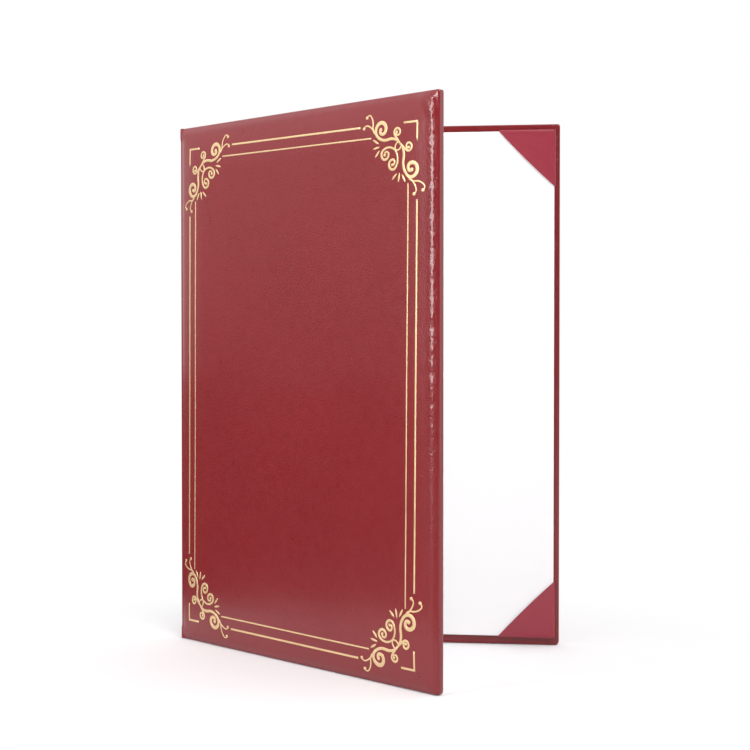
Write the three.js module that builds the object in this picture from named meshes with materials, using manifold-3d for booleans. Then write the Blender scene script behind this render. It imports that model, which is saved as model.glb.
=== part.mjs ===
// Diploma cover, standing half open.
// Two padded boards wrapped in glossy maroon leatherette are joined by a plain spine. Each cover has a raised
// white liner inside. The back liner has a leatherette pocket on every corner, to hold a sheet, and the front
// is stamped in gold foil with a double rule, corner brackets and scrolls.
// Millimetres, +Z up. A cover is built in its own frame: x runs from its hinge line to its fore-edge, y runs
// from its outer skin inwards, and z runs from its foot to its head.
import * as THREE from 'three';
import { mergeVertices } from 'three/addons/utils/BufferGeometryUtils.js';
import Module from 'manifold-3d';

const wasm = await Module();
wasm.setup();

// covers
const coverWidth = 224;
const coverHeight = 310;
const openingAngle = 40;
const leatherette = 0.7;
const boardThickness = 2;
const paddingAtEdge = 0.5;
const glueGap = 0.3;
const edgeRadius = 1.6;
const cornerRadius = 2.2;
const turnInWidth = 16;

// the padding swells the cover towards its middle
const crownHeight = 2.2;
const crownReach = 28;
const crownCornerGrowth = 0.7;
const crownSteps = 6;

// hinges and spine
const skinStop = 1;
const turningClearance = 0.35;
const hingeStripReach = 18;
const trimOverrun = 10;
const closedGap = 0.6;

// liners and pockets
const linerThickness = 0.8;
const linerMarginSide = 3.2;
const linerMarginHead = 3.2;
const linerMarginFoot = 5.1;
const linerMarginSpine = 7;
const pocketSkin = 0.5;
const pocketLeg = 32.7;
const pocketBow = 0.55;
const pocketTuck = 9;

// foil stamping
const foilThickness = 0.2;
const foilLift = 0.2;
const foilTilt = -0.45;
const frameSpineMargin = 11;
const frameForeMargin = 14.4;
const frameFootMargin = 11.9;
const frameHeadMargin = 14.6;
const ruleSpacing = 6.3;
const outerRuleWidth = 1.15;
const innerRuleWidth = 0.85;
const outerRuleStop = 40;
const innerRuleStop = 31.4;
const bracketArm = 10;
const bracketWidth = 1.2;
const scrollStretch = 1.065;
const scrollShift = 1.2;

// sizes that follow from those
const coverThickness = 2 * leatherette + 3 * glueGap + boardThickness + paddingAtEdge;
const lining = leatherette;
const spineStack = leatherette + glueGap + lining;
const jointSetback = spineStack + turningClearance;
const skinOffset = leatherette + glueGap;
const pocketBase = coverThickness + glueGap;
const backLinerDepth = pocketBase + pocketSkin + glueGap;
const pocketTop = backLinerDepth + linerThickness + glueGap + pocketSkin;
const frontLinerDepth = coverThickness + glueGap;
const spineWidth = pocketTop + frontLinerDepth + linerThickness + closedGap;
const frameWidth = coverWidth - frameSpineMargin - frameForeMargin;
const frameHeight = coverHeight - frameFootMargin - frameHeadMargin;

const maroon = { color: 0x8f2a33, roughness: 0.32, metalness: 0 };
const maroonInside = { color: 0x86262f, roughness: 0.4, metalness: 0 };
const greyBoard = { color: 0x9a958b, roughness: 0.9, metalness: 0 };
const paleFoam = { color: 0xe9e4d6, roughness: 0.95, metalness: 0 };
const whitePaper = { color: 0xf1eff0, roughness: 0.8, metalness: 0 };
const goldFoil = { color: 0xe6c188, roughness: 0.35, metalness: 0.6 };

function toRadians(degrees) {
  return degrees * Math.PI / 180;
}

// Merges a closed geometry's shared corners and turns it into a solid.
function solid(geometry) {
  const plain = geometry.clone();
  plain.deleteAttribute('normal');
  plain.deleteAttribute('uv');
  const merged = mergeVertices(plain, 1e-5);
  return new wasm.Manifold(new wasm.Mesh({
    numProp: 3,
    vertProperties: new Float32Array(merged.attributes.position.array),
    triVerts: new Uint32Array(merged.index.array),
  }));
}

function geometryOf(manifold) {
  const mesh = manifold.getMesh();
  const geometry = new THREE.BufferGeometry();
  geometry.setAttribute('position', new THREE.BufferAttribute(mesh.vertProperties, 3));
  geometry.setIndex(new THREE.BufferAttribute(mesh.triVerts, 1));
  return geometry;
}

// A flat outline in x and z, carried from depth y0 to depth y1.
function plate(outline, y0, y1) {
  const shape = new THREE.Shape(outline.map(([x, z]) => new THREE.Vector2(x, z)));
  const geometry = new THREE.ExtrudeGeometry(shape, { depth: y1 - y0, bevelEnabled: false });
  return geometry.rotateX(Math.PI / 2).translate(0, y1, 0);
}

function rectangle(x0, x1, z0, z1) {
  return [[x0, z0], [x1, z0], [x1, z1], [x0, z1]];
}

// The edge of a cover at a distance in from its outline. Its corners grow rounder where the padding swells.
function ringShape(inset) {
  const swell = Math.max(0, inset - edgeRadius);
  return {
    x0: inset - edgeRadius * (1 - inset / crownReach),
    x1: coverWidth - inset,
    z0: inset,
    z1: coverHeight - inset,
    radius: cornerRadius + crownCornerGrowth * swell,
  };
}

function ringPoints(inset, depth) {
  const { x0, x1, z0, z1, radius } = ringShape(inset);
  const corners = [[x1, z1, 0], [x0, z1, 90], [x0, z0, 180], [x1, z0, 270]];
  const steps = 5;
  const points = [];
  for (const [x, z, start] of corners) {
    const centreX = x === x1 ? x1 - radius : x0 + radius;
    const centreZ = z === z1 ? z1 - radius : z0 + radius;
    for (let step = 0; step <= steps; step++) {
      const angle = toRadians(start + 90 * step / steps);
      points.push([centreX + radius * Math.cos(angle), depth, centreZ + radius * Math.sin(angle)]);
    }
  }
  return points;
}

// How far the outer skin stands proud of its own edge plane, at an inset from the outline.
function crownAt(inset) {
  const way = Math.min(1, Math.max(0, (inset - edgeRadius) / (crownReach - edgeRadius)));
  return crownHeight * (1 - (1 - way) ** 2);
}

// The same at a point of the face: the inset whose ring passes through the point, found by halving.
function crownHeightAt(x, z) {
  let low = edgeRadius;
  let high = crownReach;
  for (let halving = 0; halving < 24; halving++) {
    const middle = (low + high) / 2;
    const ring = ringShape(middle);
    const outX = Math.abs(x - (ring.x0 + ring.x1) / 2) - (ring.x1 - ring.x0) / 2 + ring.radius;
    const outZ = Math.abs(z - (ring.z0 + ring.z1) / 2) - (ring.z1 - ring.z0) / 2 + ring.radius;
    const reach = Math.hypot(Math.max(outX, 0), Math.max(outZ, 0)) + Math.min(Math.max(outX, outZ), 0);
    if (reach < ring.radius) low = middle;
    else high = middle;
  }
  return crownAt(low);
}

// Profiles of the layers, as [inset, depth] from the inner face round the edge to the crowned outer face.
// Each layer is concentric with the outer skin, a stated offset inside it.
function innerArc(offset) {
  const radius = edgeRadius - offset;
  return [0, 30, 60, 90].map((degrees) => [
    edgeRadius - radius * Math.sin(toRadians(degrees)),
    coverThickness - edgeRadius + radius * Math.cos(toRadians(degrees)),
  ]);
}

function outerArc(offset) {
  const radius = edgeRadius - offset;
  return [0, 30, 60, 90].map((degrees) => [
    edgeRadius - radius * Math.cos(toRadians(degrees)),
    edgeRadius - radius * Math.sin(toRadians(degrees)),
  ]);
}

function crownRings(offset) {
  const rings = [];
  for (let step = 1; step <= crownSteps; step++) {
    const inset = edgeRadius + (crownReach - edgeRadius) * step / crownSteps;
    rings.push([inset, offset - crownAt(inset)]);
  }
  return rings;
}

// Joins rings of equal length into a closed skin with a flat cap at each end.
function loft(profile) {
  const rings = profile.map(([inset, depth]) => ringPoints(inset, depth));
  const count = rings[0].length;
  const positions = rings.flat(2);
  const index = [];
  for (let ring = 0; ring < rings.length - 1; ring++) {
    for (let point = 0; point < count; point++) {
      const next = (point + 1) % count;
      const a = ring * count + point;
      const b = ring * count + next;
      const c = a + count;
      const d = b + count;
      index.push(a, b, c, b, d, c);
    }
  }
  const last = (rings.length - 1) * count;
  for (let point = 1; point < count - 1; point++) {
    index.push(0, point + 1, point);
    index.push(last, last + point, last + point + 1);
  }
  const geometry = new THREE.BufferGeometry();
  geometry.setAttribute('position', new THREE.BufferAttribute(new Float32Array(positions), 3));
  geometry.setIndex(index);
  return geometry;
}

// What is cut away beside the hinge line: all that lies up to x and is deeper than y.
function besideHinge(x, y) {
  const outline = rectangle(-trimOverrun, x, -trimOverrun, coverHeight + trimOverrun);
  return solid(plate(outline, y, coverThickness + trimOverrun));
}

// The leatherette of one cover: crowned outer face, rolled edges and turn-ins, open over the board's back.
function makeWrap() {
  const outside = solid(loft([...innerArc(0), ...outerArc(0), ...crownRings(0)]));
  const inside = solid(loft([...innerArc(leatherette), ...outerArc(leatherette), ...crownRings(leatherette)]));
  const window = solid(plate(
    rectangle(-trimOverrun, coverWidth - turnInWidth, turnInWidth, coverHeight - turnInWidth),
    coverThickness / 2,
    coverThickness + trimOverrun,
  ));
  const spineEdge = besideHinge(skinStop, -crownHeight - trimOverrun);
  const joint = besideHinge(jointSetback, leatherette);
  return outside.subtract(inside).subtract(window).subtract(spineEdge).subtract(joint);
}

function trimAtJoint(manifold) {
  return manifold.subtract(besideHinge(jointSetback, -crownHeight - trimOverrun));
}

// The board: square towards the padding, following the rolled edge on its inner side.
function makeBoard() {
  const outerFace = skinOffset + paddingAtEdge + glueGap;
  return trimAtJoint(solid(loft([...innerArc(skinOffset), [skinOffset, outerFace]])));
}

// The foam: flat on the board, rounded at the edge and swelling to the middle.
function makePadding() {
  const flatFace = skinOffset + paddingAtEdge;
  const radius = edgeRadius - skinOffset;
  const below = Math.max(0, edgeRadius - flatFace);
  const start = edgeRadius - Math.sqrt(Math.max(0, radius ** 2 - below ** 2));
  const edge = outerArc(skinOffset).filter(([, depth]) => depth < flatFace - 0.01);
  return trimAtJoint(solid(loft([[start, flatFace], ...edge, ...crownRings(skinOffset)])));
}

// The inner joint strip where it is glued on to a board, between the head and foot turn-ins.
function makeHingeStrip() {
  const clear = turnInWidth + glueGap;
  const outline = rectangle(jointSetback, hingeStripReach, clear, coverHeight - clear);
  return solid(plate(outline, coverThickness - leatherette, coverThickness));
}

function makeLiner(depth) {
  const outline = rectangle(
    linerMarginSpine,
    coverWidth - linerMarginSide,
    linerMarginFoot,
    coverHeight - linerMarginHead,
  );
  return solid(plate(outline, depth, depth + linerThickness));
}

// A pocket at the corner of the back liner: a triangle over the liner, two rolled sides, and two margins
// tucked under it. Its free edge bows a little towards the middle of the liner.
function makePocket(cornerX, cornerZ, towardsX, towardsZ) {
  const wall = glueGap + pocketSkin;
  const span = pocketLeg + wall;
  const outline = (list) => list.map(([along, up]) => [cornerX + towardsX * along, cornerZ + towardsZ * up]);
  const freeEdge = [];
  const steps = 8;
  for (let step = 0; step <= steps; step++) {
    const way = step / steps;
    const bow = pocketBow * 4 * way * (1 - way) / Math.SQRT2;
    freeEdge.push([pocketLeg - span * way + bow, -wall + span * way + bow]);
  }
  const outside = solid(plate(outline([[-wall, -wall], ...freeEdge]), pocketBase, pocketTop));
  const room = outline([[-glueGap, -glueGap], [2 * span, -glueGap], [2 * span, 2 * span], [-glueGap, 2 * span]]);
  const liner = solid(plate(room, pocketBase + pocketSkin, pocketTop - pocketSkin));
  const middle = outline([
    [pocketTuck, pocketTuck], [2 * span, pocketTuck], [2 * span, 2 * span], [pocketTuck, 2 * span],
  ]);
  const underside = solid(plate(middle, pocketBase - 1, pocketBase + pocketSkin + glueGap));
  return outside.subtract(liner).subtract(underside);
}

// The spine's leatherette: a strip that turns in at head and foot, seen end-on in x and z.
function makeSpineWrap() {
  const radius = spineStack / 2;
  const hollow = glueGap / 2;
  const shape = new THREE.Shape();
  shape.moveTo(0, radius);
  shape.absarc(radius, radius, radius, Math.PI, 2 * Math.PI, false);
  shape.lineTo(spineStack, turnInWidth);
  shape.lineTo(spineStack - lining, turnInWidth);
  shape.lineTo(spineStack - lining, radius);
  shape.absarc(radius, radius, hollow, 0, -Math.PI, true);
  shape.lineTo(leatherette, coverHeight - radius);
  shape.absarc(radius, coverHeight - radius, hollow, Math.PI, 0, true);
  shape.lineTo(spineStack - lining, coverHeight - turnInWidth);
  shape.lineTo(spineStack, coverHeight - turnInWidth);
  shape.lineTo(spineStack, coverHeight - radius);
  shape.absarc(radius, coverHeight - radius, radius, 0, Math.PI, false);
  const depth = spineWidth - 2 * skinStop;
  const geometry = new THREE.ExtrudeGeometry(shape, { depth, bevelEnabled: false, curveSegments: 6 });
  return geometry.rotateX(Math.PI / 2).translate(0, -skinStop, 0);
}

function makeSpineLining() {
  const clear = turnInWidth + glueGap;
  const outline = rectangle(spineStack - lining, spineStack, clear, coverHeight - clear);
  return plate(outline, skinStop - spineWidth, -skinStop);
}

// Foil is laid out flat as x and z, tilted with the whole stamp, and then draped over the crowned face.
const frameCentre = [frameSpineMargin + frameWidth / 2, frameFootMargin + frameHeight / 2];

function drape(geometry) {
  const position = geometry.attributes.position;
  const tilt = toRadians(foilTilt);
  for (let vertex = 0; vertex < position.count; vertex++) {
    const x = position.getX(vertex) - frameCentre[0];
    const z = position.getZ(vertex) - frameCentre[1];
    const turnedX = frameCentre[0] + x * Math.cos(tilt) - z * Math.sin(tilt);
    const turnedZ = frameCentre[1] + x * Math.sin(tilt) + z * Math.cos(tilt);
    const depth = position.getY(vertex) - crownHeightAt(turnedX, turnedZ);
    position.setXYZ(vertex, turnedX, depth, turnedZ);
  }
  return geometry;
}

function foil(outline) {
  return solid(plate(outline, -foilLift - foilThickness, -foilLift));
}

function foilNode(manifold) {
  return drape(geometryOf(manifold));
}

// A scroll's stroke is a chain of arcs, each tangent to the last: [radius, sweep in degrees].
// Positions are measured along the rule from the frame's corner, and in from it.
const halfScroll = {
  stem: {
    start: [10.7, 10.5], heading: -49,
    arcs: [[8.25, 62], [9.1, -57], [4.47, -138], [3.79, -108], [2.58, -100], [1.37, -110]],
    widths: [1.4, 1.3, 1.9, 1.7], ball: 0.85,
  },
  outerCurl: {
    start: [10.5, 10.4], heading: -42.8,
    arcs: [[25.15, -16], [2.22, -87], [2.29, -115], [1.72, -109], [1.08, -120]],
    widths: [1.2, 1.0, 1.1, 1.0], ball: 0.6,
  },
  innerCurl: {
    start: [9.9, 11.9], heading: 66,
    arcs: [[3.13, -102], [6.67, 78], [3.08, 223], [1.83, 148], [1.08, 74]],
    widths: [0.9, 1.1, 1.4, 1.2], ball: 0.7,
  },
  upperTendril: {
    start: [29.4, 3.95], heading: -51.6,
    arcs: [[5.63, -42], [7.41, 48], [1.69, 115]],
    widths: [0.75, 0.7, 0.65, 0.65], ball: 0.72,
  },
  lowerTendril: {
    start: [27, 6.1], heading: -48,
    arcs: [[37.8, -6], [9.84, 36], [2.27, 85]],
    widths: [1, 0.75, 0.65, 0.65], ball: 0.72,
  },
};
const rays = [
  [[25.8, 9], [30.1, 6.6]],
  [[24.95, 10.55], [29.9, 11.5]],
  [[25.15, 12.4], [28.4, 16]],
];
const rayWidth = 0.95;

function arcChain({ start, heading, arcs }) {
  const points = [new THREE.Vector2(...start)];
  let angle = toRadians(heading);
  for (const [radius, sweep] of arcs) {
    const side = Math.sign(sweep);
    const turn = toRadians(sweep);
    const centre = points.at(-1).clone().add(
      new THREE.Vector2(-Math.sin(angle), Math.cos(angle)).multiplyScalar(side * radius),
    );
    const steps = Math.max(2, Math.ceil(Math.abs(sweep) * Math.sqrt(radius) / 42));
    for (let step = 1; step <= steps; step++) {
      const now = angle + turn * step / steps;
      points.push(new THREE.Vector2(
        centre.x + side * radius * Math.sin(now),
        centre.y - side * radius * Math.cos(now),
      ));
    }
    angle += turn;
  }
  return points;
}

// The outline of a stroke: its chain of arcs, widened to both sides by a width that changes along it.
function strokeOutline(stroke) {
  const line = arcChain(stroke);
  const left = [];
  const right = [];
  line.forEach((point, place) => {
    const before = line[Math.max(0, place - 1)];
    const after = line[Math.min(line.length - 1, place + 1)];
    const across = after.clone().sub(before).normalize();
    const way = place / (line.length - 1) * (stroke.widths.length - 1);
    const cell = Math.min(stroke.widths.length - 2, Math.floor(way));
    const width = THREE.MathUtils.lerp(stroke.widths[cell], stroke.widths[cell + 1], way - cell);
    left.push([point.x - across.y * width / 2, point.y + across.x * width / 2]);
    right.push([point.x + across.y * width / 2, point.y - across.x * width / 2]);
  });
  return [...left, ...right.reverse()];
}

function disc([x, y], radius) {
  const sides = 10;
  return Array.from({ length: sides }, (_, side) => [
    x + radius * Math.cos(2 * Math.PI * side / sides),
    y + radius * Math.sin(2 * Math.PI * side / sides),
  ]);
}

// A corner of the frame: where it is, and which way leads in from it.
function frameCorner(atForeEdge, atHead) {
  const x = frameCentre[0] + (atForeEdge ? 1 : -1) * frameWidth / 2;
  const z = frameCentre[1] + (atHead ? 1 : -1) * frameHeight / 2;
  return { x, z, inX: atForeEdge ? -1 : 1, inZ: atHead ? -1 : 1 };
}

function onScroll(corner, [along, inward]) {
  return [
    corner.x + corner.inX * (scrollShift + scrollStretch * along),
    corner.z + corner.inZ * inward,
  ];
}

function mirrored([along, inward]) {
  return [inward, along];
}

function makeScroll(corner) {
  let whole = null;
  for (const flip of [false, true]) {
    const place = (point) => onScroll(corner, flip ? mirrored(point) : point);
    for (const stroke of Object.values(halfScroll)) {
      const end = arcChain(stroke).at(-1);
      for (const outline of [strokeOutline(stroke), disc([end.x, end.y], stroke.ball)]) {
        const piece = foil(outline.map(place));
        whole = whole ? whole.add(piece) : piece;
      }
    }
  }
  return whole;
}

// A ray is a small leaf, pointed at both ends.
function makeRay(corner, [from, to], flip) {
  const length = Math.hypot(to[0] - from[0], to[1] - from[1]);
  const across = [(from[1] - to[1]) / length, (to[0] - from[0]) / length];
  const leaf = [[0, 0], [0.25, 0.4], [0.65, 0.5], [1, 0.12], [1, -0.12], [0.65, -0.5], [0.25, -0.4]];
  const outline = leaf.map(([along, side]) => [
    from[0] + (to[0] - from[0]) * along + across[0] * side * rayWidth,
    from[1] + (to[1] - from[1]) * along + across[1] * side * rayWidth,
  ]);
  return foil(outline.map((point) => onScroll(corner, flip ? mirrored(point) : point)));
}

function makeBracket(corner) {
  const half = bracketWidth / 2;
  const outline = [
    [-half, -half], [bracketArm, -half], [bracketArm, half], [half, half], [half, bracketArm], [-half, bracketArm],
  ];
  return foil(outline.map(([along, up]) => [corner.x + corner.inX * along, corner.z + corner.inZ * up]));
}

// The four rules at an inset from the frame, each stopping short of the corners.
function makeRules(inset, width, stop) {
  const x0 = frameCentre[0] - frameWidth / 2;
  const x1 = frameCentre[0] + frameWidth / 2;
  const z0 = frameCentre[1] - frameHeight / 2;
  const z1 = frameCentre[1] + frameHeight / 2;
  const stopX = scrollShift + scrollStretch * stop;
  const half = width / 2;
  return {
    head: foil(rectangle(x0 + stopX, x1 - stopX, z1 - inset - half, z1 - inset + half)),
    foot: foil(rectangle(x0 + stopX, x1 - stopX, z0 + inset - half, z0 + inset + half)),
    spine: foil(rectangle(x0 + inset - half, x0 + inset + half, z0 + stop, z1 - stop)),
    fore: foil(rectangle(x1 - inset - half, x1 - inset + half, z0 + stop, z1 - stop)),
  };
}

function node(name, geometry, look) {
  const mesh = new THREE.Mesh(geometry, new THREE.MeshStandardMaterial(look));
  mesh.name = name;
  return mesh;
}

// The front cover is built as it is seen from outside. The back cover is its mirror image, so the order of
// each triangle's corners is turned round with it.
function mirrorDepth(geometry) {
  const flipped = geometry.index ? geometry.toNonIndexed() : geometry.clone();
  const position = flipped.attributes.position;
  for (let vertex = 0; vertex < position.count; vertex += 3) {
    const corners = [0, 2, 1].map((step) => new THREE.Vector3().fromBufferAttribute(position, vertex + step));
    corners.forEach((point, step) => position.setXYZ(vertex + step, point.x, -point.y, point.z));
  }
  return flipped;
}

function makeCover(side) {
  const cover = new THREE.Group();
  const sides = [
    ['wrap', makeWrap(), maroon],
    ['board', makeBoard(), greyBoard],
    ['padding', makePadding(), paleFoam],
    ['hinge_strip', makeHingeStrip(), maroonInside],
    ['liner', makeLiner(side === 'back' ? backLinerDepth : frontLinerDepth), whitePaper],
  ];
  for (const [name, piece, look] of sides) {
    const geometry = geometryOf(piece);
    cover.add(node(`${side}_${name}`, side === 'back' ? mirrorDepth(geometry) : geometry, look));
  }
  return cover;
}

const backCover = makeCover('back');
for (const foreEdge of [true, false]) {
  for (const head of [true, false]) {
    const cornerX = foreEdge ? coverWidth - linerMarginSide : linerMarginSpine;
    const cornerZ = head ? coverHeight - linerMarginHead : linerMarginFoot;
    const pocket = makePocket(cornerX, cornerZ, foreEdge ? -1 : 1, head ? -1 : 1);
    const name = `back_pocket_${head ? 'head' : 'foot'}_${foreEdge ? 'fore' : 'spine'}`;
    backCover.add(node(name, mirrorDepth(geometryOf(pocket)), maroonInside));
  }
}

const frontCover = makeCover('front');
for (const foreEdge of [true, false]) {
  for (const head of [true, false]) {
    const corner = frameCorner(foreEdge, head);
    const place = `${head ? 'head' : 'foot'}_${foreEdge ? 'fore' : 'spine'}`;
    frontCover.add(node(`foil_scroll_${place}`, foilNode(makeScroll(corner)), goldFoil));
    frontCover.add(node(`foil_bracket_${place}`, foilNode(makeBracket(corner)), goldFoil));
    for (const flip of [false, true]) {
      rays.forEach((ray, number) => {
        const name = `foil_ray_${place}_${flip ? 'v' : 'h'}${number + 1}`;
        frontCover.add(node(name, foilNode(makeRay(corner, ray, flip)), goldFoil));
      });
    }
  }
}
for (const [place, rule] of Object.entries(makeRules(0, outerRuleWidth, outerRuleStop))) {
  frontCover.add(node(`foil_outer_rule_${place}`, foilNode(rule), goldFoil));
}
for (const [place, rule] of Object.entries(makeRules(ruleSpacing, innerRuleWidth, innerRuleStop))) {
  frontCover.add(node(`foil_inner_rule_${place}`, foilNode(rule), goldFoil));
}

// The front cover turns on the spine's far edge, and the spine turns on the back cover's hinge line. Each is
// open by half of the whole angle.
const frontHinge = new THREE.Group();
frontHinge.position.set(0, -spineWidth, 0);
frontHinge.rotation.z = -toRadians(openingAngle / 2);
frontHinge.add(frontCover);

const spine = new THREE.Group();
spine.rotation.z = -toRadians(openingAngle / 2);
spine.add(node('spine_wrap', makeSpineWrap(), maroon));
spine.add(node('spine_lining', makeSpineLining(), maroonInside));
spine.add(frontHinge);

// The origin is the middle of the back cover's foot, where the cover stands.
const diplomaCover = new THREE.Group();
diplomaCover.position.set(-coverWidth / 2, coverThickness / 2, 0);
diplomaCover.add(backCover, spine);

export default diplomaCover;
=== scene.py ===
"""Diploma cover: the looks, piece by piece in the order the cover is put together.

The named lengths of the cover are millimetres, as in the part, until placed() turns them into metres. On
each cover s runs from the hinge line to the fore-edge and z from the foot to the head. w, or depth, runs
inwards from the plane in which the outer face lies at its edge."""

import bmesh
import bpy
import numpy as np
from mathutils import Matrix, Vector


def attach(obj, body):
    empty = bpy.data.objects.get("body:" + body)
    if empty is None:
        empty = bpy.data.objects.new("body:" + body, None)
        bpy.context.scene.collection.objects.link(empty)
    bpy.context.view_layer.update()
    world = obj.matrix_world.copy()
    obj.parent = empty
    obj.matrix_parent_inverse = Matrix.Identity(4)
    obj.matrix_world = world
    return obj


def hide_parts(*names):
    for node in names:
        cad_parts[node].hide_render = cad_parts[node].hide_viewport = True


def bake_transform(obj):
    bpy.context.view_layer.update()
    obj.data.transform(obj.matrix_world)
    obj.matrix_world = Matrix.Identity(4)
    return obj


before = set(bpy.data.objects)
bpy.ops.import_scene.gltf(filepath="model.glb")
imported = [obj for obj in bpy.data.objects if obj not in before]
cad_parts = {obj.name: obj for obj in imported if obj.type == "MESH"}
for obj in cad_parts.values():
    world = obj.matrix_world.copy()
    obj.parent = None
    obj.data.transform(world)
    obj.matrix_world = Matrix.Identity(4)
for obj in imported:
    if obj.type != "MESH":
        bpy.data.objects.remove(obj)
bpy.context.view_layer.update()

# Boards
# A stiff sheet of grey pulp board lies inside each cover, 2 mm thick. It is cut with a knife and shows only
# where the inside isn't covered.


class Shade:
    """One shader socket. Arithmetic between sockets and numbers adds Math nodes to the material."""

    def __init__(self, tree, socket=None):
        self.tree = tree
        self.socket = socket

    def node(self, kind, settings=None, inputs=None, output=0):
        """Adds a node of that kind: settings are its properties, inputs are its values or links."""
        made = self.tree.nodes.new("ShaderNode" + kind)
        for name, value in (settings or {}).items():
            setattr(made, name, value)
        for name, value in (inputs or {}).items():
            if isinstance(value, Shade):
                self.tree.links.new(value.socket, made.inputs[name])
            else:
                made.inputs[name].default_value = value
        return Shade(self.tree, made.outputs[output] if len(made.outputs) else None)

    def math(self, operation, first, second):
        return self.node("Math", {"operation": operation}, {0: first, 1: second})

    def __add__(self, other):
        return self.math("ADD", self, other)

    def __radd__(self, other):
        return self.math("ADD", other, self)

    def __sub__(self, other):
        return self.math("SUBTRACT", self, other)

    def __rsub__(self, other):
        return self.math("SUBTRACT", other, self)

    def __mul__(self, other):
        return self.math("MULTIPLY", self, other)

    def __rmul__(self, other):
        return self.math("MULTIPLY", other, self)

    def limited(self, low, high):
        return self.node("Clamp", None, {"Value": self, "Min": low, "Max": high})


def linear(red, green, blue):
    """Linear colour of display values from 0 to 255: ((c + 0.055) / 1.055) ** 2.4."""
    shown = np.array([red, green, blue]) / 255
    return (*((shown + 0.055) / 1.055) ** 2.4, 1.0)


def new_material(name):
    """An empty material and the Shade that adds nodes to it."""
    material = bpy.data.materials.new(name)
    material.use_nodes = True
    material.node_tree.nodes.clear()
    return material, Shade(material.node_tree)


def noise(shade, scale, detail=2.0, stretch=(1, 1, 1)):
    """Noise in object coordinates, about 1 / scale metres across, from 0 to 1."""
    where = shade.node("TexCoord", output=3)
    stretched = shade.node("VectorMath", {"operation": "MULTIPLY"}, {0: where, 1: stretch})
    inputs = {"Vector": stretched, "Scale": scale, "Detail": detail}
    return shade.node("TexNoise", None, inputs)


def mixed(shade, factor, first, second):
    """The colour between first and second."""
    return shade.node("Mix", {"data_type": "RGBA"}, {0: factor, 6: first, 7: second}, 2)


def bumped(shade, height, distance):
    """A normal from a height of 0 to 1 over a distance in metres."""
    inputs = {"Strength": 1.0, "Distance": distance, "Height": height}
    return shade.node("Bump", None, inputs)


def finished(material, shade, inputs):
    """Closes a material with a Principled surface of those inputs."""
    surface = shade.node("BsdfPrincipled", None, inputs)
    shade.node("OutputMaterial", None, {"Surface": surface})
    return material


def board_material():
    """Grey board: fine pulp over paler and darker patches."""
    material, shade = new_material("pulp board")
    pulp = noise(shade, 900, 4)
    patches = noise(shade, 40)
    return finished(material, shade, {
        "Base Color": mixed(shade, pulp * 0.6 + patches * 0.4, linear(134, 129, 119), linear(170, 164, 152)),
        "Roughness": 0.85 + pulp * 0.1,
        "Normal": bumped(shade, pulp, 0.0002),
    })


def coat(node_name, material):
    """Gives a CAD node that is shown as it is its material."""
    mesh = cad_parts[node_name].data
    mesh.materials.clear()
    mesh.materials.append(material)


pulp_board = board_material()
for side in ("back", "front"):
    coat(f"{side}_board", pulp_board)

# Padding
# A layer of cream foam is glued to each board. It is thin at the edge and swells the cover by 2.2 mm
# towards its middle.


def foam_material():
    """Cream foam with small open cells."""
    material, shade = new_material("foam")
    cells = noise(shade, 1600, 3)
    return finished(material, shade, {
        "Base Color": mixed(shade, cells, linear(214, 206, 184), linear(238, 232, 216)),
        "Roughness": 0.9 + cells * 0.08,
        "Normal": bumped(shade, cells, 0.0003),
    })


cream_foam = foam_material()
for side in ("back", "front"):
    coat(f"{side}_padding", cream_foam)

# Leatherette
# One sheet of glossy maroon leatherette, 0.7 mm thick, is drawn over both padded boards and the spine, and
# turned in 16 mm at its edges. It is gathered into small folds at the fore-edge corners. Each half runs from
# the middle of the spine, and bends at its hinge line.

leather_thickness = 0.7
cover_width = 224.0
cover_height = 310.0
cover_thickness = 4.8
spine_width = 14.0
spine_thickness = 1.7
half_opening = np.radians(20)
hinge_blend = 1.4

# The outline's corners grow rounder inwards, and the crown of the padding starts at the edge's radius.
corner_radius = 2.2
corner_growth = 0.7
largest_corner = 20.7
head_gather = 0.55
edge_radius = 1.6
crown_reach = 28.0
crown_height = 2.2

# The edge goes from the turn-in round a small inner radius to a bevel outside, which is lower at the spine.
# The bevel has two bends, each of three corners, as distance in from the edge and drop below the face.
turn_in = 16.0
inner_edge_radius = 0.6
shoulder_reach = 5.2
shoulder_drop = 1.9
spine_shoulder = 0.8
bevel_bends = np.array([
    [[0, shoulder_drop], [0, 1.2], [0.8, 0.9]],
    [[1.7, 0.55], [3.1, 0], [shoulder_reach, 0]],
])

# The small bumps of the fore-edge, the folds of the head corner and the groove along the spine.
bump_height = 0.08
bump_inset = 3.4
bump_fade = (60, 190)
fold_direction = (0.79, 0.61)
fold_places = (9.2, 6.0)
fold_heights = (0.45, 0.35)
fold_bend = 0.012
fold_slant = 0.2
groove_depth = 0.45
groove_ends = (5, 9)

# The skin's points: where they lie near the hinge line, and how many follow along the foot and the fore-edge.
near_hinge = np.array([
    -7, -5.6, -4.4, -3.4, -2.6, -2, -1.5, -1, -0.5, 0, 0.5, 1, 1.5, 2, 2.5, 3.1,
    4, 5, 6.5, 8, 10, 13, 16, 20, 25, 30,
])
along_foot = 69
along_fore_edge = 401


def smooth(value, low, high):
    """0 below low, 1 above high, 3t² - 2t³ between."""
    way = np.clip((value - low) / (high - low), 0, 1)
    return way * way * (3 - 2 * way)


def bell(value, middle, reach):
    """exp(-((value - middle) / reach)²)."""
    return np.exp(-(((value - middle) / reach) ** 2))


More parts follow.
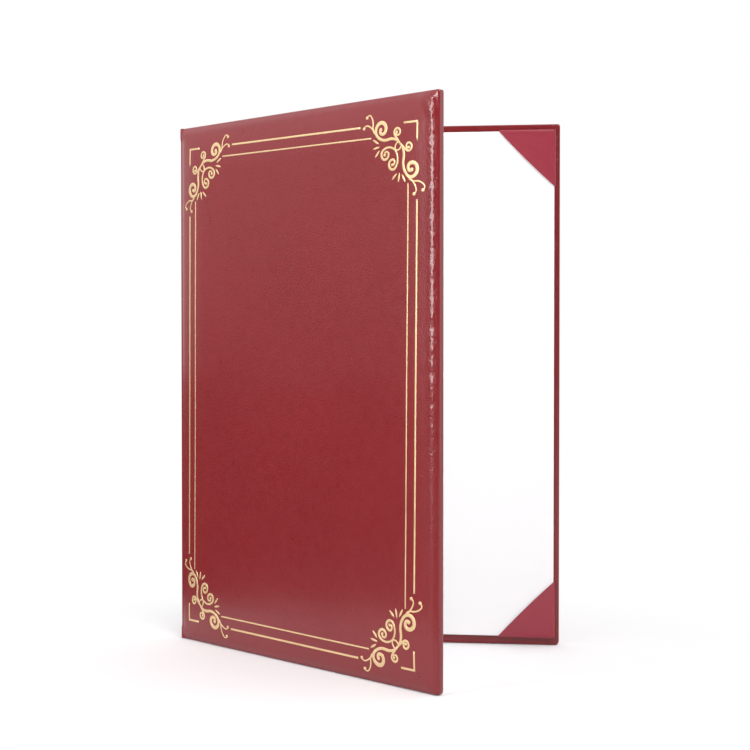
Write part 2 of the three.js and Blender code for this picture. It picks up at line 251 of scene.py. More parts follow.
def hinge_frame(side):
    """Hinge line, then the directions along the cover, inwards and along the spine, in the part's x and y."""
    sine, cosine = np.sin(half_opening), np.cos(half_opening)
    back_hinge = np.array([-cover_width / 2, cover_thickness / 2])
    if side == "back":
        return back_hinge, np.array([1.0, 0]), np.array([0, -1.0]), np.array([-sine, -cosine])
    along = np.array([np.cos(2 * half_opening), -np.sin(2 * half_opening)])
    inwards = np.array([np.sin(2 * half_opening), np.cos(2 * half_opening)])
    return back_hinge - spine_width * np.array([sine, cosine]), along, inwards, np.array([sine, cosine])


def placed(side, s, w, z):
    """Metres in the part's frame of points s from the hinge line, w inwards and z up, in millimetres.

    With s below 0 a point is on the spine. The planes of cover and spine are mixed by a smooth step over
    hinge_blend at each side of the hinge line."""
    hinge, along, inwards, down_spine = hinge_frame(side)
    spine_inwards = np.array([np.cos(half_opening), -np.sin(half_opening)])
    on_cover = smooth(s, -hinge_blend, hinge_blend)[..., None]
    cover = s[..., None] * along + w[..., None] * inwards
    spine = -s[..., None] * down_spine + w[..., None] * spine_inwards
    flat = hinge + on_cover * cover + (1 - on_cover) * spine
    return np.concatenate([flat, z[..., None]], axis=-1) / 1000


def crown(s, z):
    """How far the padding lifts the skin: h(1 - (1 - t)²), with t from 0 at the edge to 1 at crown_reach.

    The distance from the edge is that of the rounded rectangle through the point, found by halving."""
    low = np.full(np.shape(s), edge_radius)
    high = np.full(np.shape(s), crown_reach)
    for _ in range(20):
        inset = (low + high) / 2
        radius = corner_radius + corner_growth * (inset - edge_radius)
        left = inset - edge_radius * (1 - inset / crown_reach)
        right = cover_width - inset
        out_s = np.abs(s - (left + right) / 2) - (right - left) / 2 + radius
        out_z = np.abs(z - cover_height / 2) - (cover_height / 2 - inset) + radius
        corner = np.hypot(np.maximum(out_s, 0), np.maximum(out_z, 0))
        inside = corner + np.minimum(np.maximum(out_s, out_z), 0) < radius
        low = np.where(inside, inset, low)
        high = np.where(inside, high, inset)
    way = (low - edge_radius) / (crown_reach - edge_radius)
    return crown_height * (1 - (1 - way) ** 2)


def relief(side, s, z):
    """Small unevenness of the drawn skin, in millimetres outwards.

    The sum of long soft waves over the foam, bumps 3 to 19 mm long on the fore-edge's shoulder that fade
    below the middle, two folds across the head corner that fall off towards it, and short pulls along the
    head. A groove along the spine is taken off, which ends where the turn-ins thicken it. The back cover has
    the same with its waves shifted."""
    shift = 0.0 if side == "front" else 1.9
    waves = (
        0.07 * np.sin(s / 17 + z / 41 + shift)
        + 0.06 * np.sin(z / 23 - s / 36 + 2 * shift)
        + 0.03 * np.sin(s / 7.3 + z / 11.7 + shift) * np.sin(z / 13.1 - s / 19)
    )
    waves = waves * smooth(s, 3, 20) * smooth(cover_width - s, 4, 16)
    waves = waves * smooth(z, 2, 12) * smooth(cover_height - z, 2, 12)
    near_edge = bell(s, cover_width - bump_inset, 1.9)
    bumps = 0.5 * np.sin(z / 1.9 + shift) + 0.8 * np.sin(z / 3.1 + 1.3 + shift) + 0.6 * np.sin(z / 1.27 + 0.4)
    bumps = bumps + 0.4 * np.sin(z / 0.47 + 3 * np.sin(z / 5.3) + 1.6 * s) * np.sin(z / 3.7 + shift)
    bumps = bumps + 0.4 * np.sin(z / 0.71 + 2 * np.sin(z / 9) - 1.1 * s)
    bumps = bumps * bump_height * near_edge * smooth(z, *bump_fade)
    corner_s = cover_width - s
    corner_z = cover_height - z
    deep = fold_direction[0] * corner_s + fold_direction[1] * corner_z
    across = fold_direction[1] * corner_s - fold_direction[0] * corner_z
    bent = deep - fold_bend * across**2
    slanting = bent + fold_slant * across
    far, near = fold_places
    folds = (
        fold_heights[0] * smooth(bent, far - 2.2, far) * (1 - smooth(bent, far, far + 4.8))
        + fold_heights[1] * smooth(slanting, near - 1.8, near) * (1 - smooth(slanting, near, near + 1))
        - 0.1 * np.maximum(far - 2.2 - bent, 0)
        + 0.5 * bell(deep, 1.6, 1.8)
    )
    folds = folds * (1 - smooth(np.abs(across), 7, 12)) * smooth(corner_s, -1, 1) * smooth(corner_z, -1, 1)
    pulls = 0.05 * np.sin(s / 2.1 + shift) * bell(corner_z, 2.5, 2.5) * smooth(s, 8, 30)
    groove = groove_depth * (1 - smooth(s, 1.5, 5)) * smooth(z, *groove_ends) * smooth(corner_z, *groove_ends)
    return waves + bumps + folds + pulls - groove


def skin_depth(side, s, z):
    """Depth of the outer skin: minus the crown and the unevenness."""
    return -crown(s, z) - relief(side, s, z)


def edge_profile():
    """Rings of the skin: part (0 turn-in, 1 inner round, 2 bevel, 3 face), inset, rise and reach.

    They run from the end of the turn-in, round the edge, to the middle of the face. On the inner quarter
    circle rise and reach are the angle's sine and cosine. On the bevel they are 1 - drop / shoulder_drop and
    1 - inset / shoulder_reach, and its inset and drop follow two bends (1 - t)² a + 2t(1 - t) b + t² c."""
    quarter = np.linspace(0, np.pi / 2, 9)
    way = np.linspace(0, 1, 6)[:, None]
    bevel = np.concatenate([
        (1 - way) ** 2 * first + 2 * way * (1 - way) * second + way**2 * third
        for first, second, third in bevel_bends
    ])
    rows = [(0, inset, 0, 1) for inset in (turn_in, 12.0, 8.0, 5.0, 3.0, 1.8)]
    rows += [(1, 0, np.sin(angle), np.cos(angle)) for angle in quarter[:-1:2]]
    rows += [(2, 0, 1 - drop / shoulder_drop, 1 - inset / shoulder_reach) for inset, drop in bevel]
    near = np.arange(shoulder_reach + 0.35, 12, 0.5)
    middle = np.linspace(12, crown_reach, 11)
    far = np.linspace(crown_reach, cover_height / 2, 24)[1:]
    rows += [(3, inset, 0, 0) for inset in (*near, *middle, *far)]
    return np.array(rows)


def skin_grid(side):
    """Points of the outer skin, ring by ring, each ring an open loop round foot, fore-edge and head.

    The edge is a quarter circle inside and a bevel with two soft bends outside. A ring starts at the middle
    of the spine and is rounded at its two corners, by corner_radius at the outline and corner_growth more for
    each millimetre inwards. The gathered head corner is squarer: its arc's sine and cosine are raised to a
    power below 1. At the spine, which is thinner, the bevel is squeezed towards the edge."""
    part, inset, rise, reach = (edge_profile()[:, [column]] for column in range(4))
    inner, outer = part == 1, part == 2
    inset = np.where(inner, inner_edge_radius * (1 - rise), inset)
    inset = np.where(outer, shoulder_reach * (1 - reach), inset)
    grown = corner_radius + corner_growth * np.maximum(inset - edge_radius, 0)
    radius = np.where(part == 0, corner_radius - 0.1 * inset, grown)
    radius = np.minimum(np.minimum(radius, largest_corner), cover_height / 2 - inset)
    right = cover_width - inset
    share = 1 - (1 - np.linspace(0, 1, along_foot)[1:]) ** 1.7
    run = right - radius - near_hinge[-1]
    run_s = np.concatenate([np.tile(near_hinge, (len(inset), 1)), near_hinge[-1] + run * share], axis=1)
    foot_z = np.tile(inset, (1, run_s.shape[1]))
    turns = np.linspace(0, np.pi / 2, 16)[1:-1]
    corner_s = right - radius + radius * np.sin(turns)
    corner_z = inset + radius - radius * np.cos(turns)
    gathered = head_gather + (1 - head_gather) * smooth(inset, 2, 7)
    head_s = right - radius + radius * np.sin(turns) ** gathered
    head_z = cover_height - inset - radius + radius * np.cos(turns) ** gathered
    ramp = np.linspace(-1, 1, along_fore_edge)
    ramp = np.sign(ramp) * (1 - (1 - np.abs(ramp)) ** 1.2)
    fore_z = cover_height / 2 + (cover_height / 2 - inset - radius) * ramp
    fore_s = np.tile(right, (1, len(ramp)))
    s = np.concatenate([run_s, corner_s, fore_s, head_s[:, ::-1], run_s[:, ::-1]], axis=1)
    top_z = cover_height - foot_z
    z = np.concatenate([foot_z, corner_z, fore_z, head_z[:, ::-1], top_z], axis=1)
    on_cover = smooth(s, 0.4, 2.6)
    thickness = spine_thickness + (cover_thickness - spine_thickness) * on_cover
    inner_radius = np.minimum(inner_edge_radius, thickness / 2)
    outer_depth = spine_shoulder + (shoulder_drop - spine_shoulder) * on_cover
    squeeze = 1 - (1 - spine_shoulder / shoulder_reach) * (1 - on_cover) * smooth(4 - s, 0, 1)
    from_edge = np.where(outer, inset * squeeze, inset)
    z = z + np.where(outer & (s < 4), np.sign(cover_height / 2 - z) * (from_edge - inset), 0)
    depth = np.where(inner, thickness - inner_radius * (1 - reach), thickness)
    depth = np.where(outer, outer_depth * (1 - rise) - crown(s, z), depth)
    depth = np.where(part == 3, -crown(s, z), depth)
    outwards = np.where(part == 3, 1, np.where(outer, rise, 0))
    return s, depth - outwards * relief(side, s, z), z


def crease_share(s, z):
    """How finely the skin is creased: 1 along the fore-edge's shoulder, fading inwards and to the foot.

    At the head corner, where the leather is drawn tight over the folds, it falls to 0.15."""
    along = smooth(z, 60, 210) * bell(s, cover_width - 3.6, 2.6)
    at_corner = bell(s, cover_width - 1, 7) * bell(z, cover_height - 1, 7)
    return np.clip(along * (1 - at_corner) + 0.15 * at_corner, 0, 1)


def grid_faces(rows, columns):
    """Corner numbers of the quads of a grid of points, row after row."""
    first = np.arange(rows - 1)[:, None] * columns + np.arange(columns - 1)
    return np.stack([first, first + 1, first + columns + 1, first + columns], axis=-1).reshape(-1, 4)


def sheet_piece(name, points, thickness, outwards, material, creased=None):
    """A sheet from a grid of points in metres: coinciding points joined, its face turned towards outwards.

    Its thickness, in millimetres, grows behind that face. creased is a share for each point, kept as an
    attribute, and 0 where it isn't given."""
    rows, columns = points.shape[:2]
    mesh = bpy.data.meshes.new(name)
    mesh.from_pydata(points.reshape(-1, 3), [], grid_faces(rows, columns))
    shares = np.zeros(rows * columns) if creased is None else creased.reshape(-1)
    mesh.attributes.new("creased", "FLOAT", "POINT").data.foreach_set("value", shares)
    shape = bmesh.new()
    shape.from_mesh(mesh)
    bmesh.ops.remove_doubles(shape, verts=shape.verts, dist=2e-6)
    bmesh.ops.dissolve_degenerate(shape, edges=shape.edges, dist=1e-6)
    shape.normal_update()
    shape.to_mesh(mesh)
    shape.free()
    normals = np.empty(len(mesh.polygons) * 3)
    areas = np.empty(len(mesh.polygons))
    mesh.polygons.foreach_get("normal", normals)
    mesh.polygons.foreach_get("area", areas)
    if (normals.reshape(-1, 3) * areas[:, None]).sum(axis=0) @ np.array(outwards) < 0:
        mesh.flip_normals()
    made = bpy.data.objects.new(name, mesh)
    bpy.context.scene.collection.objects.link(made)
    thick = made.modifiers.new("thickness", "SOLIDIFY")
    thick.thickness = thickness / 1000
    thick.offset = -1
    bpy.context.view_layer.update()
    whole = bpy.data.meshes.new_from_object(made.evaluated_get(bpy.context.evaluated_depsgraph_get()))
    made.modifiers.clear()
    made.data = whole
    whole.materials.clear()
    whole.materials.append(material)
    whole.polygons.foreach_set("use_smooth", np.ones(len(whole.polygons), bool))
    return made


def leatherette_material(name, dark, light, gloss):
    """Maroon leatherette: a fine pebbled grain under uneven glossy lacquer, wrinkled where it is creased."""
    material, shade = new_material(name)
    patches = noise(shade, 14, 3)
    mottle = noise(shade, 160, 3)
    pebbles = shade.node("TexVoronoi", {"feature": "F1"}, {
        "Vector": shade.node("TexCoord", output=3),
        "Scale": 1100.0,
    })
    grain = noise(shade, 2200, 2)
    creased = shade.node("Attribute", {"attribute_name": "creased"}, output=2)
    wrinkles = noise(shade, 560, 3, (1, 1, 0.8))
    height = pebbles * 0.7 + grain * 0.5 + mottle * 0.6 + creased * wrinkles * 9
    return finished(material, shade, {
        "Base Color": mixed(shade, patches * 0.65 + mottle * 0.35, dark, light),
        "Roughness": (gloss + mottle * 0.12 + pebbles * 0.06).limited(0.05, 1),
        "Normal": bumped(shade, height, 0.0001),
        "Coat Weight": 0.55,
        "Coat Roughness": 0.1,
        "IOR": 1.5,
    })


def bend_at_hinge(piece, side):
    """Bakes the piece's transform into its mesh. It is not blended from cover to spine here: the hinge line
    and directions it looks up are not used.
    """
    hinge, along, _, down_spine = hinge_frame(side)
    if side == "back":
        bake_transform(piece)
    else:
        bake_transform(piece)


maroon = leatherette_material("maroon leatherette", linear(117, 18, 24), linear(133, 26, 31), 0.22)
leathers = {}
for side in ("back", "front"):
    s, depth, z = skin_grid(side)
    skin = placed(side, s, depth, z)
    inwards = hinge_frame(side)[2]
    leather = sheet_piece(
        f"leatherette_{side}", skin, leather_thickness, (*-inwards, 0), maroon, crease_share(s, z))
    leathers[side] = leather
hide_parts("back_wrap")
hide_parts("front_wrap", "spine_wrap")
for side, leather in leathers.items():
    bend_at_hinge(leather, side)

# Inner joint strip
# A strip of the same leatherette, 0.55 mm thick, is glued inside the spine and 18 mm on to each board,
# between the turn-ins. It dips between the boards and bends at each hinge line.

strip_reach = 18.0
strip_thickness = 0.55


def strip_grid():
    """Points of the strip's inner face: it rises from the spine's lining on to the board over 2 mm.

    It is uneven by 0.06 mm, and its edge on the board is pressed down by 0.12 mm."""
    s = np.concatenate([
        np.linspace(-spine_width / 2, 0, 11), np.linspace(0.3, 3.3, 13), np.linspace(4, strip_reach, 9),
    ])
    ends = turn_in + np.array([0.3, 0.6])
    z = np.concatenate([ends, np.linspace(18, cover_height - 18, 70), cover_height - ends[::-1]])
    s, z = np.meshgrid(s, z)
    w = spine_thickness + (cover_thickness - spine_thickness) * smooth(s, 0.5, 2.5)
    w = w + 0.06 * np.sin(z / 9 + s / 3) * smooth(s, -6.5, -3) * smooth(-s, -16, -12)
    w = w - 0.12 * smooth(s, strip_reach - 0.8, strip_reach)
    return s, w, z


maroon_inside = leatherette_material(
    "maroon leatherette inside", linear(140, 32, 50), linear(158, 42, 60), 0.34)
strips = {}
for side in ("back", "front"):
    inwards = hinge_frame(side)[2]
    strip = sheet_piece(
        f"joint_strip_{side}", placed(side, *strip_grid()), strip_thickness, (*inwards, 0), maroon_inside)
    strips[side] = strip
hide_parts("back_hinge_strip")
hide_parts("front_hinge_strip", "spine_lining")
for side, strip in strips.items():
    bend_at_hinge(strip, side)

# Liners
# A white board with a paper face, 0.8 mm thick, is fixed inside each cover. Its cut edges are slightly
# crushed, and it lies almost but not quite flat.

liner_fore_margin = 3.2
liner_head_margin = 4.1
liner_spine = 7.0
liner_fore = cover_width - liner_fore_margin
liner_foot = 5.1
liner_head = cover_height - liner_head_margin
liner_thickness = 0.8
liner_depths = {"back": 5.9, "front": 5.1}


def liner_grid(depth):
    """Points of a liner whose back face is at depth: a closed skin, with poles at its two faces' middles.

    Rings run from the back face's middle round the edge to the front face's middle, each a rectangle drawn in
    by a share of the liner's half width. The faces are uneven by 0.05 mm."""
    half_s, half_z = (liner_fore - liner_spine) / 2, (liner_head - liner_foot) / 2
    ring = [(inset, 0) for inset in (1, 0.8, 0.5, 0.2, 0.05, 0.004)]
    ring += [(0.0012, 0.15), (0, 0.4), (0, 0.62), (0.0012, 0.76)]
    ring += [(inset, liner_thickness) for inset in (0.004, 0.012, 0.05, 0.12, *np.linspace(0.2, 1, 12))]
    ring = np.array(ring)
    along = np.linspace(-1, 1, 41)[:-1]
    ones = np.ones_like(along)
    outline_s = np.concatenate([along, ones, -along, -ones, [-1]])
    outline_z = np.concatenate([-ones, along, ones, -along, [-1]])
    inset = ring[:, 0][:, None] * half_s
    scale_s = (half_s - inset) / half_s
    scale_z = np.where(inset < 0.95 * half_s, (half_z - inset) / half_z, 0)
    s = liner_spine + half_s + outline_s * half_s * scale_s
    z = liner_foot + half_z + outline_z * half_z * scale_z
    waves = np.sin(s / 31 + z / 47) * 0.03 + np.sin(z / 29 - s / 53) * 0.02
    return s, depth + ring[:, 1][:, None] + waves, z


def closed_piece(name, points, faces, material, sharp=180):
    """A closed mesh of metre points: coinciding points joined, faces turned outwards.

    Edges sharper than that many degrees are shaded as edges."""
    mesh = bpy.data.meshes.new(name)
    mesh.from_pydata(points, [], faces)
    shape = bmesh.new()
    shape.from_mesh(mesh)
    bmesh.ops.remove_doubles(shape, verts=shape.verts, dist=1e-6)
    bmesh.ops.dissolve_degenerate(shape, edges=shape.edges, dist=5e-7)
    bmesh.ops.recalc_face_normals(shape, faces=shape.faces)
    shape.to_mesh(mesh)
    shape.free()
    mesh.materials.append(material)
    mesh.polygons.foreach_set("use_smooth", np.ones(len(mesh.polygons), bool))
    mesh.set_sharp_from_angle(angle=np.radians(sharp))
    made = bpy.data.objects.new(name, mesh)
    bpy.context.scene.collection.objects.link(made)
    return made


def paper_material():
    """Smooth white paper: faint fibres, a little warm and cool unevenness."""
    material, shade = new_material("white liner paper")
    fibres = noise(shade, 1400, 4, (1, 1, 0.35))
    cloud = noise(shade, 9, 2)
    return finished(material, shade, {
        "Base Color": mixed(shade, cloud * 0.7 + fibres * 0.3, linear(246, 245, 246), linear(252, 251, 251)),
        "Roughness": 0.62 + fibres * 0.15,
        "Normal": bumped(shade, fibres, 0.00003),
    })


white_paper = paper_material()
for side, depth in liner_depths.items():
    grid = placed(side, *liner_grid(depth))
    rows, columns = grid.shape[:2]
    liner = closed_piece(
        f"liner_{side}", grid.reshape(-1, 3), grid_faces(rows, columns), white_paper, 50)
    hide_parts(f"{side}_liner")
    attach(liner, f"{side}_cover")

# Corner pockets
# A triangle of leatherette, 0.45 mm thick with legs of 33.5 mm, is wrapped round each corner of the back
# liner and glued behind it. Its free edge is folded to a soft rim that bows a little and stands off the
# liner, and it holds a sheet's corner.

pocket_leg = 33.5
pocket_thickness = 0.45
pocket_wall = 0.8
pocket_tuck = 9.0
pocket_bow = 0.55
pocket_back = liner_depths["back"] - pocket_wall
pocket_front = liner_depths["back"] + liner_thickness + pocket_wall
pocket_round = 0.85
rim_height = 0.05
fold_height = 0.2
gape_height = 0.38


def pocket_grid(corner_s, corner_z, towards_s, towards_z):
    """Points of one pocket's outer face, in rows from the free edge to the corner.

    Each row is a line across the corner: behind the liner, round its edge by a quarter circle, over the
    front and back again. Behind the liner it reaches pocket_tuck, or as far as the mitre at the corner. a
    and b are the distances from the liner's corner along its two edges. Over the front the parabola
    4t(1 - t) lifts the row, most at the free edge, and bows it outwards."""
    share = np.linspace(0, 1, 41)
    share = np.concatenate([share[:1], [0.012, 0.024, 0.036], share[2:]])[:, None]
    length = pocket_leg * (1 - share)
    tuck = np.minimum(pocket_tuck, 0.96 * length)
    bend = np.linspace(0, np.pi / 2, 6)
    tuck_way = np.array([1, 0.75, 0.5, 0.25, 0.12])
    front_way = np.linspace(0, 1, 41)[1:-1]
    rows = share.shape[0]
    puff = 4 * front_way * (1 - front_way)
    under_b = -pocket_wall + pocket_round + tuck_way * np.maximum(tuck - pocket_round, 0)
    arc_in = np.tile(-pocket_wall + pocket_round * (1 - np.sin(bend)), (rows, 1))
    arc_out = np.tile(-pocket_wall + pocket_round * (1 - np.cos(bend)), (rows, 1))
    side_b = np.concatenate([under_b, arc_in, arc_out], axis=1)
    side_w = np.concatenate([
        np.full(len(tuck_way), pocket_back),
        pocket_back + pocket_round * (1 - np.cos(bend)),
        pocket_front - pocket_round * (1 - np.sin(bend)),
    ])
    side_b = np.minimum(side_b, -pocket_wall + length)
    side_a = np.tile(-pocket_wall + length, (1, side_b.shape[1]))
    bow = pocket_bow * puff / np.sqrt(2) * (1 - share) ** 2
    first_a = side_a[:, -1:]
    first_b = side_b[:, -1:]
    over_a = first_a + (first_b - first_a) * front_way + bow
    over_b = first_b + (first_a - first_b) * front_way + bow
    from_rim = pocket_leg * share / np.sqrt(2)
    rim = rim_height * bell(from_rim, 1.2, 1.2)
    from_side = np.minimum(over_a, over_b) + pocket_wall
    fold = fold_height * bell(from_side, 1.0, 0.6)
    gape = gape_height * bell(from_rim, 0, 6)
    ripple = 0.05 * np.sin(over_a / 3.1 + over_b / 2.3)
    over_w = pocket_front + puff * (rim + gape + ripple) + fold
    a = np.concatenate([side_a, over_a, side_b[:, ::-1]], axis=1)
    b = np.concatenate([side_b, over_b, side_a[:, ::-1]], axis=1)
    side_w = np.tile(side_w, (rows, 1))
    w = np.concatenate([side_w, over_w, side_w[:, ::-1]], axis=1)
    return corner_s + towards_s * a, w, corner_z + towards_z * b


for end, corner_s, towards_s in (("fore", liner_fore, -1), ("spine", liner_spine, 1)):
    for level, corner_z, towards_z in (("head", liner_head, -1), ("foot", liner_foot, 1)):
        grid = pocket_grid(corner_s, corner_z, towards_s, towards_z)
        pocket = sheet_piece(
            f"pocket_{level}_{end}", placed("back", *grid), pocket_thickness, (0, -1, 0), maroon_inside)
        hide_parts(f"back_pocket_{level}_{end}")
        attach(pocket, "back_cover")

# Gold foil
# A frame is hot-stamped on the front in pale gold foil: two rules on every side, and in each corner a
# bracket, two mirrored sprays of scrolls and six small rays. The foil is thin, and follows the skin. Where
# strips cross, each lies a step of some thousandths of a millimetre above the one before.

frame_width = 198.6
frame_height = 283.5
frame_from_spine = 11.0
frame_from_foot = 11.9
frame_centre = np.array([frame_from_spine + frame_width / 2, frame_from_foot + frame_height / 2])
stamp_tilt = np.radians(-0.45)
foil_lift = 0.07
foil_sunk = 0.08
stroke_step = 0.007
dot_step = 0.004
arm_step = 0.006
bracket_arm = 10.0
bracket_width = 1.2
scroll_stretch = {"fore": 1.065, "spine": 1.01}
scroll_shift = 1.2

# Each stroke of a spray: its start and heading from the frame's corner, its arcs as radius and sweep in
# degrees, its widths at equal steps along it, and the radius of the dot at its end.
scroll_strokes = [
    ((10.7, 10.5), -49, [(8.25, 62), (9.1, -57), (4.0, -138), (3.4, -108), (2.3, -100), (1.3, -110)],
     [0.9, 1.7, 1.6, 1.8, 2.3, 2.1, 1.7], 1.1),
    ((10.5, 10.4), -42.8, [(22.5, -16), (2.05, -87), (2.1, -115), (1.58, -109), (1.0, -120)],
     [1.2, 1.45, 1.2, 1.3, 1.2, 1.0], 0.8),
    ((9.8, 12.1), 66, [(3.13, -102), (6.9, 74), (2.65, 223), (1.55, 148), (0.95, 74)],
     [0.8, 1.1, 1.25, 1.55, 1.35, 1.0], 0.85),
    ((29.4, 3.95), -51.6, [(5.63, -42), (7.41, 48), (1.69, 115)], [0.7, 0.95, 0.8, 0.75], 0.95),
    ((27, 6.1), -48, [(37.8, -6), (9.84, 36), (2.27, 85)], [0.95, 1.05, 0.85, 0.75], 0.95),
]
ray_shift = (0, 0.7)
ray_widths = [0.1, 0.9, 1.25, 1.25, 1.0, 0.4]
ray_lines = [((25.8, 9), (30.1, 6.6)), ((24.95, 10.55), (29.9, 11.5)), ((25.15, 12.4), (28.4, 16))]

# Each rule: its name, its distance inwards from the frame, its width and how far from a corner it stops.
rule_kinds = [("outer", 0.0, 1.15, 40.0), ("inner", 6.3, 0.85, 31.4)]


def arc_chain(start, heading, arcs):
    """Points along arcs of (radius, sweep in degrees), each tangent to the last, about 0.35 mm apart."""
    points = [np.array([start], float)]
    angle = np.radians(heading)
    for radius, sweep in arcs:
        side = np.sign(sweep)
        turn = np.radians(sweep)
        centre = points[-1][-1] + side * radius * np.array([-np.sin(angle), np.cos(angle)])
        steps = max(4, int(np.ceil(abs(turn) * radius / 0.35)))
        now = angle + turn * np.arange(1, steps + 1) / steps
        points.append(centre + side * radius * np.stack([np.sin(now), -np.cos(now)], axis=1))
        angle += turn
    return np.concatenate(points)


def ribbon(path, widths, lift):
    """A closed foil strip along a flat path: (points in the flat, heights in mm, faces).

    Its section has its edges sunk in the skin and rises to lift in the middle."""
    across = np.gradient(path, axis=0)
    across = np.stack([-across[:, 1], across[:, 0]], axis=1) / np.linalg.norm(across, axis=1)[:, None]
    side = np.array([-1, -0.97, -0.7, 0, 0.7, 0.97, 1])
    rise = np.array([-foil_sunk, 0.5 * lift, 0.92 * lift, lift, 0.92 * lift, 0.5 * lift, -foil_sunk])
    flat = path[:, None, :] + across[:, None, :] * side[:, None] * np.asarray(widths)[:, None, None] / 2
    heights = np.tile(rise, (len(path), 1))
    count = len(side)
    first = np.arange(len(path) - 1)[:, None] * count + np.arange(count)
    second = np.arange(len(path) - 1)[:, None] * count + (np.arange(count) + 1) % count
    quads = np.stack([first, second, second + count, first + count], axis=-1).reshape(-1, 4)
    ends = [list(range(count)), list(range((len(path) - 1) * count, len(path) * count))]
    return flat.reshape(-1, 2), heights.reshape(-1), quads.tolist() + ends


def varied(path, widths):
    """Widths along a path, from values at equal steps along it."""
    return np.interp(np.linspace(0, 1, len(path)), np.linspace(0, 1, len(widths)), widths)


def dot(centre, radius, lift):
    """A round foil dot: a ribbon as wide as the circle is there."""
    way = np.sin(np.linspace(-np.pi / 2, np.pi / 2, 15)) * 0.995
    path = np.array(centre) + np.stack([way * radius, np.zeros_like(way)], axis=1)
    return ribbon(path, 2 * radius * np.sqrt(1 - way**2), lift)


def straight(start, end, widths, lift):
    """A foil strip between two points, divided about every 1.5 mm."""
    start, end = np.array(start, float), np.array(end, float)
    steps = max(8, int(np.linalg.norm(end - start) / 1.5))
    path = start + (end - start) * np.linspace(0, 1, steps)[:, None]
    return ribbon(path, varied(path, widths), lift)


def foil_piece(name, strips, place):
    """One foil object of several strips. place turns their flat points into s and z of the untilted frame."""
    flats, heights, faces = [], [], []
    start = 0
    for flat, height, strip_faces in strips:
        flats.append(place(flat))
        heights.append(height)
        faces += [[corner + start for corner in face] for face in strip_faces]
        start += len(flat)
    flat = np.concatenate(flats) - frame_centre
    height = np.concatenate(heights)
    s = frame_centre[0] + flat[:, 0] * np.cos(stamp_tilt) - flat[:, 1] * np.sin(stamp_tilt)
    z = frame_centre[1] + flat[:, 0] * np.sin(stamp_tilt) + flat[:, 1] * np.cos(stamp_tilt)
    points = placed("front", s, skin_depth("front", s, z) - height, z)
    piece = closed_piece(name, points, faces, gold)
    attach(piece, "front_cover")
    return piece


def gold_material():
    """Pale gold foil: slightly worn, with the grain of the skin showing through."""
    material, shade = new_material("gold foil")
    wear = noise(shade, 220, 4)
    cloud = noise(shade, 30, 2)
    grain = noise(shade, 1800, 2)
    return finished(material, shade, {
        "Base Color": mixed(shade, cloud * 0.5 + wear * 0.5, linear(240, 200, 148), linear(255, 232, 182)),
        "Metallic": 0.75,
        "Roughness": 0.32 + wear * 0.2,
        "Normal": bumped(shade, grain, 0.00004),
    })


gold = gold_material()
for end, sign_s in (("fore", 1), ("spine", -1)):
    for level, sign_z in (("head", 1), ("foot", -1)):
        corner = frame_centre + np.array([sign_s * frame_width, sign_z * frame_height]) / 2

        def on_scroll(flat):
            stretched = np.stack([scroll_shift + scroll_stretch[end] * flat[:, 0], flat[:, 1]], axis=1)
            return corner - stretched * np.array([sign_s, sign_z])

        def on_bracket(flat):
            return corner - flat * np.array([sign_s, sign_z])

        strips = []
        lift = foil_lift
        for turned in (False, True):
            for start, heading, arcs, widths, ball in scroll_strokes:
                path = arc_chain(start, heading, arcs)
                middle = path[-1]
                if turned:
                    path, middle = path[:, ::-1], middle[::-1]
                strips.append(ribbon(path, varied(path, widths), lift))
                strips.append(dot(middle, ball, lift + dot_step))
                lift += stroke_step
            for start, finish in ray_lines:
                ray = np.array([start[::-1], finish[::-1]] if turned else [start, finish]) + ray_shift
                strips.append(straight(*ray, ray_widths, lift))
        place = f"{level}_{end}"
        scroll = foil_piece(f"foil_scrolls_{place}", strips, on_scroll)
        rays = [f"foil_ray_{place}_{way}{number}" for way in "hv" for number in (1, 2, 3)]
        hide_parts(f"foil_scroll_{place}", *rays)
        arm_widths = [bracket_width, bracket_width]
        arms = [
            straight((-bracket_width / 2, 0), (bracket_arm, 0), arm_widths, foil_lift),
            straight((0, -bracket_width / 2), (0, bracket_arm), arm_widths, foil_lift + arm_step),
        ]
        bracket = foil_piece(f"foil_corner_bracket_{place}", arms, on_bracket)
        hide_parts(f"foil_bracket_{place}")

half_s, half_z = frame_width / 2, frame_height / 2
for label, inset, width, stop in rule_kinds:
    near_spine, near_fore = (half_s - scroll_shift - scroll_stretch[end] * stop for end in ("spine", "fore"))
    stop_z = half_z - stop
    lines = {
        "head": ((-near_spine, half_z - inset), (near_fore, half_z - inset)),
        "foot": ((-near_spine, inset - half_z), (near_fore, inset - half_z)),
        "spine": ((inset - half_s, -stop_z), (inset - half_s, stop_z)),
        "fore": ((half_s - inset, -stop_z), (half_s - inset, stop_z)),
    }
    for place, (start, finish) in lines.items():
        rule = straight(start, finish, [width, width], foil_lift)
        piece = foil_piece(f"foil_{label}_line_{place}", [rule], lambda flat: flat + frame_centre)
        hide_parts(f"foil_{label}_rule_{place}")

# The white room
# The cover stands on a white sheet in front of a white background, under a large soft lamp above and to the
# right. Its front mirrors a tall lamp at the left, and its fore-edge a pale wall at the right.


def stage_plane(name, half, level, material):
    """A level square that reaches half its size in metres each way, at that height."""
    mesh = bpy.data.meshes.new(name)
    corners = [(-half, -half, level), (half, -half, level), (half, half, level), (-half, half, level)]
    mesh.from_pydata(corners, [], [(0, 1, 2, 3)])
    mesh.materials.append(material)
    plane = bpy.data.objects.new(name, mesh)
    bpy.context.scene.collection.objects.link(plane)


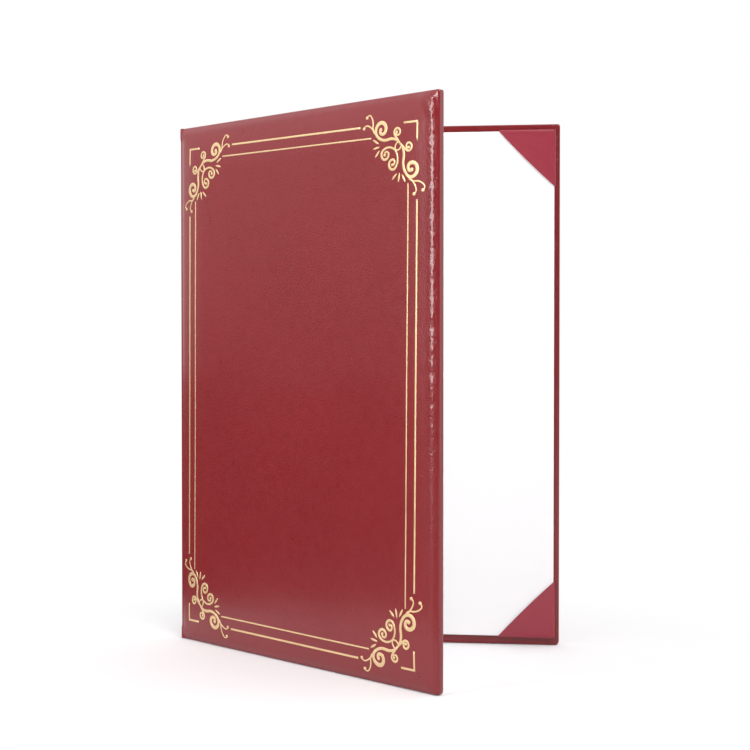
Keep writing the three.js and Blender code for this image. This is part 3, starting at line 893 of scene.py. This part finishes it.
def floor_material():
    """A white sheet that keeps the cover's shadow near it and goes over into plain white further out.
    To glossy rays its colour is a painted reflection: pale grey near the cover, painted dark further out to
    the left.
    """
    material, shade = new_material("white floor")
    glossy = shade.node("LightPath", output=3)
    camera_ray = shade.node("LightPath", output=0)
    where = shade.node("TexCoord", output=3)
    centred = shade.node("VectorMath", {"operation": "SUBTRACT"}, {0: where, 1: (0.0, -0.06, 0.0)})
    far = shade.node("VectorMath", {"operation": "LENGTH"}, {0: centred}, 1)
    plain = shade.node("MapRange", {"interpolation_type": "SMOOTHSTEP"}, {
        "Value": far, "From Min": 0.08, "From Max": 0.29,
    })
    rightwards = shade.node("SeparateXYZ", None, {"Vector": where})
    # Painted reflection: glossy rays see the floor pale grey near the cover and painted dark beyond about
    # 0.17 m towards the left, so the cover's gloss mirrors a dark room there.
    painted_dark_far = ((far - 0.17) * 7).limited(0, 1) * (0.6 - rightwards * 4).limited(0, 1)
    painted_reflection = mixed(shade, painted_dark_far, linear(214, 210, 212), linear(62, 58, 58))
    pale = shade.node("BsdfDiffuse", None, {
        "Color": mixed(shade, glossy, linear(243, 242, 243), painted_reflection),
    })
    white = shade.node("Emission", None, {"Color": (1, 1, 1, 1), "Strength": 1.0})
    ground = shade.node("MixShader", None, {0: plain * camera_ray, 1: pale, 2: white})
    shade.node("OutputMaterial", None, {"Surface": ground})
    return material


stage_plane("floor", 6, -0.0003, floor_material())


def soft_lamp(name, place, aim, width, height, power):
    """A rectangular lamp of that size in metres at a place, facing aim."""
    data = bpy.data.lights.new(name, "AREA")
    data.shape = "RECTANGLE"
    data.size = width
    data.size_y = height
    data.energy = power
    lamp = bpy.data.objects.new(name, data)
    lamp.location = place
    lamp.rotation_euler = (Vector(aim) - Vector(place)).to_track_quat("-Z", "Y").to_euler()
    bpy.context.scene.collection.objects.link(lamp)


soft_lamp("lamp above right", (0.5, -1.2, 1.4), (0.02, 0, 0.15), 0.8, 0.8, 20)
soft_lamp("tall lamp at the left", (-1.22, -1.04, 0.62), (0.053, -0.153, 0.4), 0.36, 0.95, 15)
soft_lamp("pale wall at the right", (1.6, -0.05, 0.3), (0.055, -0.15, 0.25), 0.6, 0.9, 1.8)

world = bpy.data.worlds.new("white background")
world.use_nodes = True
world.node_tree.nodes.clear()
sky = Shade(world.node_tree)
camera_ray = sky.node("LightPath", output=0)
direction = sky.node("TexCoord", output=0)
sideways = sky.node("SeparateXYZ", None, {"Vector": direction}, 1)
upwards = sky.node("SeparateXYZ", None, {"Vector": direction}, 2)
height = (upwards * 2.4 + 0.3).limited(0, 1)
behind_camera = (sideways * -4 - 1.2).limited(0, 1)
backdrop = (sideways * 3 - 0.3).limited(0, 1)
level = (0.06 + height * 0.72 + backdrop * 0.6) * (1 - behind_camera * 0.93)
room = mixed(sky, level, (0, 0, 0, 1), (1, 0.99, 1, 1))
seen = mixed(sky, camera_ray, room, (1, 1, 1, 1))
sky.node("OutputWorld", None, {"Surface": sky.node("Background", None, {"Color": seen, "Strength": 1.0})})
bpy.context.scene.world = world
bpy.context.scene.view_settings.view_transform = "Standard"

# Camera
# A long lens stands 1 m in front of the cover, a little above its middle, and is turned 8 degrees to the
# left and slightly down.
camera_data = bpy.data.cameras.new("camera")
camera_data.sensor_width = 36
camera_data.lens = 80.62
camera = bpy.data.objects.new("camera", camera_data)
camera.location = (0.1429, -1.0061, 0.1842)
camera.rotation_euler = np.radians([88.68, 0, 8.03])
bpy.context.scene.collection.objects.link(camera)
bpy.context.scene.camera = camera
